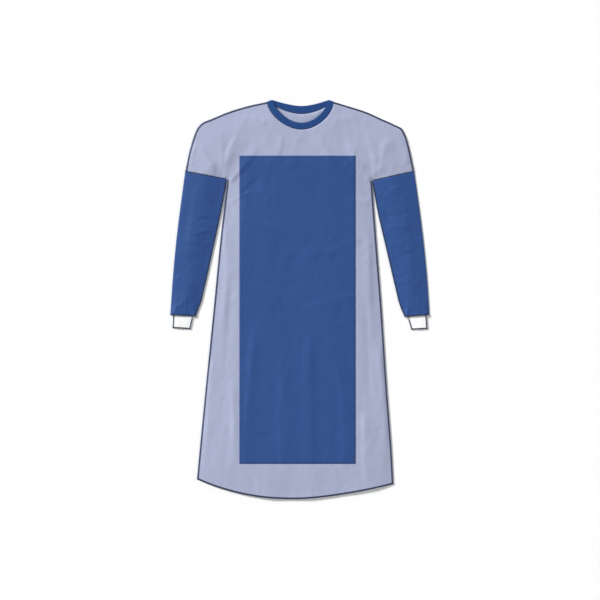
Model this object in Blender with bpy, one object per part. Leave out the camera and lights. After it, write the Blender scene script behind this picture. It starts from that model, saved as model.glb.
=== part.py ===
"""Surgical gown laid flat with its front up, at real size (Blender 4.5, metres, +Z up).

The gown lies on the plane z = 0 with its neck towards +Y. Left and right are the wearer's, so the right
sleeve is on the -X side. Two backs lie on the plane and cross down the centre back. The front lies on
them and carries the reinforcement, and the sleeves and cuffs are flattened tubes beside the body.

A place on the gown is given as a tailor gives it, in millimetres: across from the centre front, positive
to the wearer's left, and down from the high point of the shoulder.
"""

import math
from collections import namedtuple

import bmesh
import bpy
from mathutils import Vector
from mathutils.geometry import delaunay_2d_cdt, interpolate_bezier

MM = 0.001
RIGHT, LEFT = -1, 1

# Whole gown
LENGTH = 1274.4
CLOTH = 1.2
SEAM_GAP = 0.3

# Lift of the front off the backs, full at this distance from a closed seam
LOFT = 2.4
LOFT_REACH = 60.0

# The two backs cross by the overlap, and what lies over it comes down beside it along the ramp
OVERLAP = 184.0
OVERLAP_RAMP = 60.0

# Neck: the front scoop and the two edges of the binding across the back
NECK_HALF_WIDTH = 105.0
NECK_CORNER_DOWN = 6.0
SCOOP_BOTTOM_DOWN = 94.1
SCOOP_ROUNDNESS = 1.7
BAND_WIDTH = 20.5
BACK_SEAM_DOWN = 43.1
BACK_SEAM_ROUNDNESS = 1.8
BACK_FREE_HALF_WIDTH = 88.0
BACK_FREE_DOWN = 20.7
BACK_FREE_ROUNDNESS = 1.4

# Shoulder and overarm edge, from the neck corner to the sleeve seam
Breadth = namedtuple("Breadth", "down right left")
SHOULDER_EDGE = (
    Breadth(down=6.0, right=105.0, left=105.0),
    Breadth(down=20.7, right=169.0, left=155.0),
    Breadth(down=40.0, right=227.0, left=207.0),
    Breadth(down=59.0, right=274.0, left=250.0),
    Breadth(down=78.0, right=315.0, left=294.0),
    Breadth(down=92.0, right=327.0, left=320.0),
    Breadth(down=112.0, right=335.0, left=333.0),
    Breadth(down=155.0, right=348.0, left=348.0),
    Breadth(down=228.0, right=364.0, left=364.0),
)

# Side seam, from the underarm point to the hem corner
SIDE_SEAM = (
    Breadth(down=257.0, right=229.7, left=225.5),
    Breadth(down=450.0, right=254.0, left=241.0),
    Breadth(down=650.0, right=273.5, left=256.8),
    Breadth(down=925.0, right=301.0, left=275.0),
    Breadth(down=1156.0, right=323.5, left=292.0),
)
HEM_CORNER_RIGHT = (325.4, 1210.6)
HEM_CORNER_LEFT = (296.7, 1226.6)

# Hem: lowest a little to the right of the centre front, rising to the two corners
HEM_LOWEST_ACROSS = -16.0
HEM_ROUNDNESS_RIGHT = 2.0
HEM_ROUNDNESS_LEFT = 1.6

# Reinforcement on the front
REINFORCEMENT_WIDTH = 370.0
REINFORCEMENT_LENGTH = 982.0
REINFORCEMENT_CENTRE = -8.0
REINFORCEMENT_TOP_DOWN = 178.6
REINFORCEMENT_CLOTH = 1.0

# Sleeve edges from the seam to the mouth: how far down and across each edge is
SleeveRow = namedtuple("SleeveRow", "outer_down outer inner_down inner")
SLEEVE_RIGHT = (
    SleeveRow(outer_down=228.0, outer=364.0, inner_down=257.0, inner=230.6),
    SleeveRow(outer_down=320.0, outer=376.4, inner_down=344.0, inner=252.5),
    SleeveRow(outer_down=458.0, outer=393.5, inner_down=474.0, inner=276.5),
    SleeveRow(outer_down=596.0, outer=406.8, inner_down=604.0, inner=306.0),
    SleeveRow(outer_down=642.0, outer=409.7, inner_down=648.0, inner=316.5),
    SleeveRow(outer_down=665.0, outer=411.2, inner_down=670.0, inner=326.0),
    SleeveRow(outer_down=687.5, outer=413.0, inner_down=692.2, inner=331.8),
)
SLEEVE_LEFT = (
    SleeveRow(outer_down=228.0, outer=364.0, inner_down=257.0, inner=226.4),
    SleeveRow(outer_down=320.0, outer=376.4, inner_down=344.0, inner=247.0),
    SleeveRow(outer_down=458.0, outer=393.0, inner_down=474.0, inner=275.0),
    SleeveRow(outer_down=596.0, outer=405.0, inner_down=604.0, inner=307.0),
    SleeveRow(outer_down=642.0, outer=408.5, inner_down=648.0, inner=318.0),
    SleeveRow(outer_down=665.0, outer=411.2, inner_down=670.0, inner=326.5),
    SleeveRow(outer_down=687.5, outer=413.0, inner_down=693.8, inner=334.5),
)
SLEEVE_ROWS = 15
SLEEVE_ROW_CROWDING = 1.25
SLEEVE_COLUMNS = 8
MOUTH_REACH = 8.0
MOUTH_SPREAD = 0.16

# Cuffs: rib knit tubes that come out of the sleeve mouths
CuffLine = namedtuple("CuffLine", "down outer inner")
CUFF_RIGHT = (
    CuffLine(down=677.0, outer=403.0, inner=341.6),
    CuffLine(down=690.6, outer=403.5, inner=341.8),
    CuffLine(down=732.1, outer=406.7, inner=349.3),
)
CUFF_LEFT = (
    CuffLine(down=677.0, outer=403.0, inner=343.4),
    CuffLine(down=690.6, outer=403.5, inner=344.0),
    CuffLine(down=732.1, outer=406.7, inner=355.7),
)
CUFF_WALL = 1.0
CUFF_RIBS = 14
CUFF_RIB_HEIGHT = 0.4
CUFF_ROWS = (0.0, 0.245, 0.31, 0.37, 0.44, 0.7, 1.0)
CUFF_DROP_START = 0.245
CUFF_DROP_END = 0.44

# Spacing of the points that the sheets are cut with
EDGE_STEP = 24.0
NECK_STEP = 12.0
RAMP_COLUMNS = 5
RAMP_TOP_DOWN = 60.0
RAMP_HEM_MARGIN = 30.0
COLUMNS_IN_REINFORCEMENT = 17
ROWS_IN_REINFORCEMENT = 22
NOSE_STEPS = 4

# Colours, as red, green and blue in linear light
LIGHT_NONWOVEN = ((0.392, 0.429, 0.584), 0.75)
DARK_NONWOVEN = ((0.042, 0.091, 0.262), 0.6)
BAND_NONWOVEN = ((0.024, 0.072, 0.220), 0.65)
RIB_KNIT = ((0.9, 0.92, 0.9), 0.9)


def clear_scene():
    for item in list(bpy.data.objects):
        bpy.data.objects.remove(item, do_unlink=True)


def smooth_step(share):
    share = min(max(share, 0.0), 1.0)
    return share * share * (3 - 2 * share)


def at(across, down, height):
    """The point in metres, with the origin under the middle of the gown."""
    return Vector((across, LENGTH / 2 - down, height)) * MM


def curve_through(points, step):
    """A smooth curve through (across, down) points, with a point about every step millimetres."""
    knots = [Vector(point) for point in points]
    lengths = [(b - a).length for a, b in zip(knots, knots[1:])]
    headings = [(b - a).normalized() for a, b in zip(knots, knots[1:])]
    directions = [headings[0]]
    for i in range(1, len(knots) - 1):
        blend = headings[i - 1] * lengths[i] + headings[i] * lengths[i - 1]
        directions.append(blend.normalized())
    directions.append(headings[-1])
    found = [knots[0]]
    for i, length in enumerate(lengths):
        reach = length / 3
        count = max(1, round(length / step))
        leaving = knots[i] + directions[i] * reach
        arriving = knots[i + 1] - directions[i + 1] * reach
        found += interpolate_bezier(knots[i], leaving, arriving, knots[i + 1], count + 1)[1:]
    return [Vector(point[:2]) for point in found]


def side_points(rows, side):
    return [(side * (row.right if side == RIGHT else row.left), row.down) for row in rows]


def shoulder_edge(side):
    return curve_through(side_points(SHOULDER_EDGE, side), EDGE_STEP)


def side_seam(side):
    corner = HEM_CORNER_RIGHT if side == RIGHT else HEM_CORNER_LEFT
    return curve_through(side_points(SIDE_SEAM, side) + [(side * corner[0], corner[1])], EDGE_STEP * 1.5)


def sleeve_seam(side):
    start, end = shoulder_edge(side)[-1], side_seam(side)[0]
    count = round((end - start).length / EDGE_STEP)
    return [start.lerp(end, i / count) for i in range(count + 1)]


def hem_down(across):
    side = RIGHT if across < HEM_LOWEST_ACROSS else LEFT
    corner = HEM_CORNER_RIGHT if side == RIGHT else HEM_CORNER_LEFT
    roundness = HEM_ROUNDNESS_RIGHT if side == RIGHT else HEM_ROUNDNESS_LEFT
    share = (across - HEM_LOWEST_ACROSS) / (side * corner[0] - HEM_LOWEST_ACROSS)
    return LENGTH - (LENGTH - corner[1]) * share**roundness


def hem(start, end):
    count = round(abs(end - start) / EDGE_STEP)
    spots = [start + (end - start) * i / count for i in range(count + 1)]
    return [Vector((across, hem_down(across))) for across in spots]


def scoop_point(turn):
    """Front neckline, from the wearer's right corner at turn 0 to the left one at turn 1."""
    angle = math.pi * turn
    power = 2 / SCOOP_ROUNDNESS
    across = -math.copysign(abs(math.cos(angle)) ** power, math.cos(angle)) * NECK_HALF_WIDTH
    depth = SCOOP_BOTTOM_DOWN - NECK_CORNER_DOWN
    return Vector((across, NECK_CORNER_DOWN + depth * abs(math.sin(angle)) ** power))


def scoop_inward(turn):
    """Unit vector from the front neckline into the neck opening."""
    nudge = 0.01
    along = scoop_point(min(turn + nudge, 1.0)) - scoop_point(max(turn - nudge, 0.0))
    return Vector((along.y, -along.x)).normalized()


def back_seam_point(share):
    """Back neckline, from share -1 at the wearer's right corner to 1 at the left one."""
    drop = BACK_SEAM_DOWN - NECK_CORNER_DOWN
    return Vector((NECK_HALF_WIDTH * share, BACK_SEAM_DOWN - drop * abs(share) ** BACK_SEAM_ROUNDNESS))


def back_free_point(share):
    lift = BACK_FREE_DOWN * abs(share) ** BACK_FREE_ROUNDNESS
    return Vector((BACK_FREE_HALF_WIDTH * share, BACK_FREE_DOWN - lift))


def distance_to_path(point, path):
    best = math.inf
    for a, b in zip(path, path[1:]):
        along = b - a
        share = min(max((point - a).dot(along) / along.length_squared, 0.0), 1.0)
        best = min(best, (a + along * share - point).length)
    return best


def overlap_height(across):
    """How far the crossed backs raise what lies over them."""
    return (CLOTH + SEAM_GAP) * (1 - smooth_step((abs(across) - OVERLAP / 2) / OVERLAP_RAMP))


CLOSED_SEAMS = [edge(side) for edge in (shoulder_edge, side_seam) for side in (RIGHT, LEFT)]


def front_under(point):
    """Height of the front's underside."""
    reach = min(distance_to_path(point, seam) for seam in CLOSED_SEAMS) / LOFT_REACH
    return CLOTH + SEAM_GAP + overlap_height(point.x) + LOFT * smooth_step(reach)


def finish(name, mesh, cloth):
    """The named object, with its own material and smooth shading between its edges."""
    colour, roughness = cloth
    material = bpy.data.materials.new(name)
    material.use_nodes = True
    shader = material.node_tree.nodes["Principled BSDF"]
    shader.inputs["Base Color"].default_value = (*colour, 1)
    shader.inputs["Roughness"].default_value = roughness
    mesh.materials.append(material)
    mesh.shade_smooth()
    mesh.set_sharp_from_angle(angle=math.radians(40))
    piece = bpy.data.objects.new(name, mesh)
    bpy.context.scene.collection.objects.link(piece)
    return piece


def mesh_of(name, points, faces):
    mesh = bpy.data.meshes.new(name)
    mesh.from_pydata(points, [], faces)
    work = bmesh.new()
    work.from_mesh(mesh)
    bmesh.ops.recalc_face_normals(work, faces=work.faces)
    work.to_mesh(mesh)
    work.free()
    return mesh


def inside(point, outline):
    """Whether the point lies inside the closed outline."""
    found = False
    for a, b in zip(outline, outline[1:] + outline[:1]):
        if (a.y > point.y) != (b.y > point.y):
            if point.x < a.x + (b.x - a.x) * (point.y - a.y) / (b.y - a.y):
                found = not found
    return found


def cut_sheet(outline, inner):
    """(points, triangles) of a sheet with this outline and these points inside it."""
    ring = [(i, (i + 1) % len(outline)) for i in range(len(outline))]
    cut = delaunay_2d_cdt(outline + inner, ring, [], 0, 1e-6, True)
    points = [Vector(point) for point in cut[0]]
    faces = [face for face in cut[2] if inside(sum((points[i] for i in face), Vector((0, 0))) / 3, outline)]
    return points, faces


def close_sheet(points, faces, under, over):
    """Points and faces of a closed wall: the sheet at the heights under and over, joined round its edges."""
    count = len(points)
    solid_points = [at(*point, under(point)) for point in points]
    solid_points += [at(*point, over(point)) for point in points]
    solid_faces = [tuple(face) for face in faces]
    solid_faces += [tuple(i + count for i in reversed(face)) for face in faces]
    edges = [pair for face in faces for pair in zip(face, tuple(face[1:]) + (face[0],))]
    open_edges = set(edges) - {(b, a) for a, b in edges}
    solid_faces += [(b, a, a + count, b + count) for a, b in sorted(open_edges)]
    return solid_points, solid_faces


def keep_used(points, faces):
    """The same faces without the points that they leave out."""
    used = sorted({i for face in faces for i in face})
    place = {old: new for new, old in enumerate(used)}
    return [points[i] for i in used], [tuple(place[i] for i in face) for face in faces]


def body_outline():
    right = shoulder_edge(RIGHT) + sleeve_seam(RIGHT)[1:] + side_seam(RIGHT)[1:]
    left = shoulder_edge(LEFT) + sleeve_seam(LEFT)[1:] + side_seam(LEFT)[1:]
    bottom = hem(right[-1].x, left[-1].x)[1:-1]
    count = round(2 * (NECK_HALF_WIDTH + SCOOP_BOTTOM_DOWN) / NECK_STEP)
    neck = [scoop_point(i / count) for i in range(1, count)]
    return right + bottom + left[::-1] + neck[::-1]


def body_grid(outline):
    """Points inside the front, in columns and rows that the reinforcement's edges lie on."""
    column = REINFORCEMENT_WIDTH / COLUMNS_IN_REINFORCEMENT
    row = REINFORCEMENT_LENGTH / ROWS_IN_REINFORCEMENT
    first_across = REINFORCEMENT_CENTRE - REINFORCEMENT_WIDTH / 2
    rows_above = round(REINFORCEMENT_TOP_DOWN / (row / 2))
    downs = [REINFORCEMENT_TOP_DOWN - row / 2 * i for i in range(rows_above + 1)]
    downs += [REINFORCEMENT_TOP_DOWN + row * i for i in range(1, ROWS_IN_REINFORCEMENT + 3)]
    found = []
    for down in downs:
        for i in range(-COLUMNS_IN_REINFORCEMENT, 2 * COLUMNS_IN_REINFORCEMENT):
            point = Vector((first_across + column * i, down))
            if inside(point, outline) and distance_to_path(point, outline + outline[:1]) > column / 2:
                found.append(point)
    return found


def in_reinforcement(point):
    beside = abs(point.x - REINFORCEMENT_CENTRE) < REINFORCEMENT_WIDTH / 2
    return beside and 0 < point.y - REINFORCEMENT_TOP_DOWN < REINFORCEMENT_LENGTH


def make_front_and_reinforcement():
    outline = body_outline()
    points, faces = cut_sheet(outline, body_grid(outline))
    under = {tuple(point): front_under(point) for point in points}

    def front_bottom(point):
        return under[tuple(point)]

    def front_top(point):
        return under[tuple(point)] + CLOTH

    def patch_bottom(point):
        return front_top(point) + SEAM_GAP

    def patch_top(point):
        return patch_bottom(point) + REINFORCEMENT_CLOTH

    front = close_sheet(points, faces, front_bottom, front_top)
    finish("front_panel", mesh_of("front_panel", *front), LIGHT_NONWOVEN)
    centres = {face: sum((points[i] for i in face), Vector((0, 0))) / 3 for face in map(tuple, faces)}
    kept = keep_used(points, [face for face, centre in centres.items() if in_reinforcement(centre)])
    patch = close_sheet(*kept, patch_bottom, patch_top)
    finish("reinforcement", mesh_of("reinforcement", *patch), DARK_NONWOVEN)


def back_under(point, side):
    """Height of a back's underside: the right back climbs onto the left one, which lies on the plane."""
    return overlap_height(min(point.x, 0.0)) if side == RIGHT else 0.0


def ramp_grid():
    """Points where the right back climbs onto the left one."""
    found = []
    for i in range(RAMP_COLUMNS + 1):
        across = -OVERLAP / 2 - OVERLAP_RAMP * i / RAMP_COLUMNS
        reach = hem_down(across) - RAMP_HEM_MARGIN - RAMP_TOP_DOWN
        for j in range(RAMP_COLUMNS + 1):
            found.append(Vector((across, RAMP_TOP_DOWN + reach * j / RAMP_COLUMNS)))
    return found


def make_back(name, side):
    """The back on this side, which runs past the centre back by half of the overlap."""
    free = -side * OVERLAP / 2
    outer = shoulder_edge(side) + sleeve_seam(side)[1:] + side_seam(side)[1:]
    bottom = hem(outer[-1].x, free)[1:]
    last_share = free / NECK_HALF_WIDTH
    count = round((NECK_HALF_WIDTH + OVERLAP / 2) / NECK_STEP)
    neck = [back_seam_point(last_share + (side - last_share) * i / count) for i in range(count)]
    outline = outer + bottom + neck
    points, faces = cut_sheet(outline, ramp_grid() if side == RIGHT else [])

    def under(point):
        return back_under(point, side)

    def over(point):
        return under(point) + CLOTH

    finish(name, mesh_of(name, *close_sheet(points, faces, under, over)), LIGHT_NONWOVEN)


def loft_strip(name, rows, under):
    """A flat strip between the two edges that each row gives, at the height under plus the cloth's wall."""
    points, faces = [], []
    for seam, free in rows:
        low, high = under(seam), under(free)
        points += [at(*seam, low), at(*free, high), at(*free, high + CLOTH), at(*seam, low + CLOTH)]
    for i in range(0, len(points) - 4, 4):
        faces += [(i + j, i + (j + 1) % 4, i + 4 + (j + 1) % 4, i + 4 + j) for j in range(4)]
    faces += [(0, 1, 2, 3), tuple(range(len(points) - 4, len(points)))]
    finish(name, mesh_of(name, points, faces), BAND_NONWOVEN)


def make_front_neckband():
    steps = 40
    fold_right = (back_seam_point(-1) + Vector((SEAM_GAP, 0)), back_free_point(-1))
    fold_left = (back_seam_point(1) - Vector((SEAM_GAP, 0)), back_free_point(1))
    rows = [fold_right]
    for i in range(2, steps - 1):
        edge, inward = scoop_point(i / steps), scoop_inward(i / steps)
        rows.append((edge + inward * SEAM_GAP, edge + inward * BAND_WIDTH))
    rows.append(fold_left)
    loft_strip("neckband_front", rows, front_under)


def make_back_neckband(name, side):
    steps = 16
    last_share = -side * OVERLAP / 2 / NECK_HALF_WIDTH
    rows = []
    for i in range(steps + 1):
        share = side + (last_share - side) * i / steps
        edge, free = back_seam_point(share), back_free_point(share)
        rows.append((edge + (free - edge).normalized() * SEAM_GAP, free))

    loft_strip(name, rows, lambda point: back_under(point, side))


def nose(centre_height, radius, turn_from):
    """Offsets along the width and heights round the folded edge of a flattened tube, half a circle."""
    found = []
    for i in range(NOSE_STEPS + 1):
        angle = turn_from + math.pi * i / NOSE_STEPS
        found.append((radius * math.cos(angle), centre_height + radius * math.sin(angle)))
    return found


def tube_ring(width, wall, low, spots, top_height, ribs=None):
    """Two rings of (distance across, height), outside and inside, of a tube that lies flat at height low.

    spots are shares of the width between the folded edges, and top_height gives the hollow's extra height.
    """
    outer_radius = wall + SEAM_GAP / 2
    inner_radius = SEAM_GAP / 2
    centre = low + outer_radius
    rings = []
    for radius, inset, raised in ((outer_radius, 0.0, ribs), (inner_radius, wall, None)):
        span = width - 2 * outer_radius
        flat = [outer_radius + span * spot for spot in spots]
        ring = [(across, low + inset) for across in flat]
        ring += [(width - outer_radius + x, z) for x, z in nose(centre, radius, -math.pi / 2)]
        crown = centre + radius
        for i in range(len(flat) - 1, -1, -1):
            rise = top_height(flat[i]) + (raised[i] if raised else 0.0)
            ring.append((flat[i], crown + rise))
        ring += [(outer_radius + x, z) for x, z in nose(centre, radius, math.pi / 2)]
        rings.append(ring)
    return rings


def loft_tube(name, sections, cloth):
    """A tube of open ends from sections of (outer ring, inner ring), each a list of points."""
    count = len(sections[0][0])
    points = [point for pair in sections for ring in pair for point in ring]

    def number(row, ring, i):
        return (row * 2 + ring) * count + i % count

    faces = []
    for row in range(len(sections) - 1):
        for i in range(count):
            for ring in (0, 1):
                quad = [number(row, ring, i), number(row, ring, i + 1), number(row + 1, ring, i + 1)]
                faces.append(tuple(quad) + (number(row + 1, ring, i),))
    for row in (0, len(sections) - 1):
        for i in range(count):
            rim = (number(row, 0, i), number(row, 0, i + 1), number(row, 1, i + 1), number(row, 1, i))
            faces.append(rim)
    finish(name, mesh_of(name, points, faces), cloth)


def placed(ring, start, end):
    """The ring's points between the tube's two edges, start and end, as points in metres."""
    across = (end - start).normalized()
    return [at(*(start + across * distance), height) for distance, height in ring]


def column_spots(count):
    return [i / (count - 1) for i in range(count)]


def make_sleeve(name, side, rows):
    outer = curve_through([(row.outer_down, side * row.outer) for row in rows], 1.0)
    inner = curve_through([(row.inner_down, side * row.inner) for row in rows], 1.0)
    spots = column_spots(SLEEVE_COLUMNS)
    sections = []
    for i in range(SLEEVE_ROWS):
        along = 1 - (1 - i / (SLEEVE_ROWS - 1)) ** SLEEVE_ROW_CROWDING
        start, end = (edge[round(along * (len(edge) - 1))] for edge in (outer, inner))
        start, end = Vector((start.y, start.x)), Vector((end.y, end.x))
        shift = Vector((0.0, SEAM_GAP)) if i == 0 else Vector((0.0, 0.0))
        width = (end - start).length
        mouth = smooth_step((along - 1 + MOUTH_SPREAD) / MOUTH_SPREAD)
        reach = min(LOFT_REACH, width / 2) * (1 - mouth) + MOUTH_REACH * mouth
        cuff_height = 2 * CUFF_WALL + SEAM_GAP + CUFF_RIB_HEIGHT
        lift = LOFT * (1 - mouth) + (cuff_height + SEAM_GAP) * mouth

        def top_height(distance, width=width, reach=reach, lift=lift):
            return lift * smooth_step(min(distance, width - distance) / reach)

        rings = tube_ring(width, CLOTH, 0.0, spots, top_height)
        sections.append([placed(ring, start + shift, end + shift) for ring in rings])
    loft_tube(name, sections, DARK_NONWOVEN)


def make_cuff(name, side, rows):
    lines = [[Vector((side * row.outer, row.down)), Vector((side * row.inner, row.down))] for row in rows]
    spots = column_spots(2 * CUFF_RIBS + 1)
    ribs = [CUFF_RIB_HEIGHT * (i % 2) for i in range(len(spots))]
    length = rows[-1].down - rows[0].down
    middle = (rows[1].down - rows[0].down) / length
    sections = []
    for along in CUFF_ROWS:
        if along < middle:
            pair, share = lines[0:2], along / middle
        else:
            pair, share = lines[1:3], (along - middle) / (1 - middle)
        start, end = (pair[0][i].lerp(pair[1][i], share) for i in (0, 1))
        drop = smooth_step((along - CUFF_DROP_START) / (CUFF_DROP_END - CUFF_DROP_START))
        low = (CLOTH + SEAM_GAP) * (1 - drop)
        rings = tube_ring((end - start).length, CUFF_WALL, low, spots, lambda distance: 0.0, ribs)
        sections.append([placed(ring, start, end) for ring in rings])
    loft_tube(name, sections, RIB_KNIT)


clear_scene()
make_back("back_left", LEFT)
make_back("back_right", RIGHT)
make_back_neckband("neckband_back_left", LEFT)
make_back_neckband("neckband_back_right", RIGHT)
make_front_and_reinforcement()
make_front_neckband()
make_sleeve("sleeve_right", RIGHT, SLEEVE_RIGHT)
make_sleeve("sleeve_left", LEFT, SLEEVE_LEFT)
make_cuff("cuff_right", RIGHT, CUFF_RIGHT)
make_cuff("cuff_left", LEFT, CUFF_LEFT)
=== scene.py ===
import math
from collections import namedtuple

import bmesh
import bpy
import numpy as np
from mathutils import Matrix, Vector, noise
from mathutils.geometry import delaunay_2d_cdt, interpolate_bezier
from mathutils.kdtree import KDTree


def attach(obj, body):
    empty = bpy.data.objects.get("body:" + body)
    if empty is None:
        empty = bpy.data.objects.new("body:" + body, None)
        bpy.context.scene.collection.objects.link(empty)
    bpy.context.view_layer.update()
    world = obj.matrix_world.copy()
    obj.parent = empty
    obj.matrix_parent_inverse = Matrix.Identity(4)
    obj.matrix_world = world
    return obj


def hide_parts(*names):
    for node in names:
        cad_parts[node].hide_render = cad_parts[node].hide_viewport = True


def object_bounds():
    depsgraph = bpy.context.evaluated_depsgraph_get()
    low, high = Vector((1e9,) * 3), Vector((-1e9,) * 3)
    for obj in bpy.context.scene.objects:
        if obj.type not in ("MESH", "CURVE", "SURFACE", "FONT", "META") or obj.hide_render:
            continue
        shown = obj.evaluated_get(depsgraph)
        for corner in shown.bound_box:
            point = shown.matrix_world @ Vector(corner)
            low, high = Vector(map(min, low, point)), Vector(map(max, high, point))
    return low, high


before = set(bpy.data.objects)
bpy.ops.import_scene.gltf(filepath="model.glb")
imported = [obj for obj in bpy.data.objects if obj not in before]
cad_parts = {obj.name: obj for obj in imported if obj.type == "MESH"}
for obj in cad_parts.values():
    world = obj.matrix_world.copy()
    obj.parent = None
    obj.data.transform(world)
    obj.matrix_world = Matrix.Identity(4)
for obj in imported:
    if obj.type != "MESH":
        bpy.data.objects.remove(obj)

cad_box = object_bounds()
MM = 0.001
RIGHT, LEFT = -1, 1
LENGTH = 2 * cad_box[1].y / MM

# The two backs, cut from light spunbond nonwoven in one shape each and sewn to the front at the shoulders
# and sides. They lie on the table under everything else. The right one crosses over the left one down the
# centre back, and the neck opening shows its inside.
BACK_CLOTH = 1.1
BACK_STEP = 9.0
BACK_EDGE_STEP = 8.0
BACK_GRID_REACH = 369.0
BACK_GRID_TOP = 4.0
BACK_NECK_POINTS = 26
BACK_RIPPLE = 0.08
RIM_BULGE = 0.2
OVERLAP = 184.0
OVERLAP_RAMP = 60.0
OVERLAP_RISE = 1.5
NECK_HALF_WIDTH = 105.0
NECK_LEAN = 5.0
NECK_LEFT_REACH = 3.5
NECK_CORNER_DOWN = 6.0
BACK_SEAM_DOWN = 44.8
BACK_SEAM_ROUNDNESS = 1.8


def rows_of(kind, *rows):
    """Gives the numbers in a table's rows the names of its columns."""
    return [kind(*row) for row in rows]


Breadth = namedtuple("Breadth", "down right left")
SHOULDER_EDGE = rows_of(
    Breadth,  # down, right, left
    (6.0, 105.0, 108.5),
    (20.7, 171.4, 157.2),
    (40.0, 233.0, 216.0),
    (59.0, 278.4, 257.5),
    (78.0, 318.0, 299.8),
    (92.0, 328.9, 325.4),
    (112.0, 337.4, 336.5),
    (155.0, 350.8, 349.3),
    (228.0, 366.5, 364.6),
)
UNDERARM = {RIGHT: (232.2, 253.5), LEFT: (229.6, 258.2)}
SIDE_SEAM = rows_of(
    Breadth,  # down, right, left
    (450.0, 254.8, 244.2),
    (650.0, 274.4, 259.9),
    (925.0, 302.0, 278.2),
    (1156.0, 324.3, 295.0),
)
HEM_CORNER = {RIGHT: (329.4, 1211.2), LEFT: (298.4, 1226.6)}
HEM_LOWEST_ACROSS = -16.0
HEM_ROUNDNESS = {RIGHT: 2.2, LEFT: 1.6}


def smooth_step(share):
    share = np.clip(share, 0.0, 1.0)
    return share * share * (3 - 2 * share)


def curve_through(points, step):
    """A smooth curve through (across, down) points, with a point about every step millimetres."""
    knots = [Vector(point) for point in points]
    lengths = [(b - a).length for a, b in zip(knots, knots[1:])]
    headings = [(b - a).normalized() for a, b in zip(knots, knots[1:])]
    directions = [headings[0]]
    for i in range(1, len(knots) - 1):
        blend = headings[i - 1] * lengths[i] + headings[i] * lengths[i - 1]
        directions.append(blend.normalized())
    directions.append(headings[-1])
    found = [np.array(knots[0])]
    for i, length in enumerate(lengths):
        reach = length / 3
        count = max(1, round(length / step))
        leaving = knots[i] + directions[i] * reach
        arriving = knots[i + 1] - directions[i + 1] * reach
        stretch = interpolate_bezier(knots[i], leaving, arriving, knots[i + 1], count + 1)[1:]
        found += [np.array(point[:2]) for point in stretch]
    return np.array(found)


def side_points(rows, side):
    return [(side * (row.right if side == RIGHT else row.left), row.down) for row in rows]


def shoulder_edge(side, step):
    return curve_through(side_points(SHOULDER_EDGE, side), step)


def side_seam(side, step):
    first, last = ((side * across, down) for across, down in (UNDERARM[side], HEM_CORNER[side]))
    return curve_through([first] + side_points(SIDE_SEAM, side) + [last], step)


def straight(start, end, step):
    count = max(1, round(float(np.hypot(*(np.subtract(end, start)))) / step))
    return np.linspace(start, end, count + 1)


def sleeve_seam(side, step):
    return straight(shoulder_edge(side, step)[-1], side_seam(side, step)[0], step)


def hem_down(across):
    side = RIGHT if across < HEM_LOWEST_ACROSS else LEFT
    corner_across, corner_down = HEM_CORNER[side]
    share = (across - HEM_LOWEST_ACROSS) / (side * corner_across - HEM_LOWEST_ACROSS)
    return LENGTH - (LENGTH - corner_down) * share ** HEM_ROUNDNESS[side]


def hem(start, end, step):
    count = round(abs(end - start) / step)
    return np.array([(across, hem_down(across)) for across in np.linspace(start, end, count + 1)])


def soft_power(share, power, ease=0.3):
    """|share| to this power, but rounded off round share 0."""
    low = ease**power
    return ((share**2 + ease**2) ** (power / 2) - low) / ((1 + ease**2) ** (power / 2) - low)


def neck_across(share, half_width):
    """Places round the neck, which lies a little to the wearer's left of the middle."""
    return half_width * share + NECK_LEAN * (1 - share**2) + NECK_LEFT_REACH * share * (1 + share) / 2


def back_seam_point(share):
    """Back neckline, from share -1 at the wearer's right corner to 1 at the left one."""
    drop = BACK_SEAM_DOWN - NECK_CORNER_DOWN
    down = BACK_SEAM_DOWN - drop * soft_power(share, BACK_SEAM_ROUNDNESS)
    return np.array((neck_across(share, NECK_HALF_WIDTH), down))


def overlap_height(across):
    """How far the crossed backs raise what lies over them."""
    return OVERLAP_RISE * (1 - smooth_step((np.abs(across) - OVERLAP / 2) / OVERLAP_RAMP))


def nearest_on_path(points, path):
    """(distance, how far along the path) of the nearest place on it, for each point."""
    best = np.full(len(points), np.inf)
    along_path = np.zeros(len(points))
    walked = 0.0
    for a, b in zip(path, path[1:]):
        way = b - a
        length = math.hypot(*way)
        share = np.clip((points - a) @ way / (way @ way), 0.0, 1.0)
        gap = points - a - share[:, None] * way
        distance = np.hypot(gap[:, 0], gap[:, 1])
        along_path = np.where(distance < best, walked + share * length, along_path)
        best = np.minimum(best, distance)
        walked += length
    return best, along_path


def distance_to_path(points, path):
    return nearest_on_path(points, path)[0]


def inside(points, outline):
    """Whether each point lies inside the closed outline."""
    found = np.zeros(len(points), bool)
    for a, b in zip(outline, np.roll(outline, -1, axis=0)):
        if a[1] == b[1]:
            continue
        spans = (a[1] > points[:, 1]) != (b[1] > points[:, 1])
        found ^= spans & (points[:, 0] < a[0] + (b[0] - a[0]) * (points[:, 1] - a[1]) / (b[1] - a[1]))
    return found


def cut_sheet(outline, inner):
    """(points, triangles) of a flat sheet with this outline and these points inside it."""
    ring = [(i, (i + 1) % len(outline)) for i in range(len(outline))]
    spots = [Vector(point) for point in np.concatenate([outline, inner])]
    cut = delaunay_2d_cdt(spots, ring, [], 0, 1e-6, True)
    points = np.array([tuple(point) for point in cut[0]])
    faces = np.array([face for face in cut[2]])
    return points, faces[inside(points[faces].mean(axis=1), outline)]


def grid_inside(outline, columns, rows, margin):
    """The crossings of the columns and rows that lie inside the outline, clear of it by the margin."""
    points = np.array([(across, down) for down in rows for across in columns])
    points = points[inside(points, outline)]
    return points[distance_to_path(points, np.concatenate([outline, outline[:1]])) > margin]


def place(points, heights):
    """Points across and down, in millimetres, as points in metres round the gown's middle."""
    return np.column_stack([points[:, 0], LENGTH / 2 - points[:, 1], heights]) * MM


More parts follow.
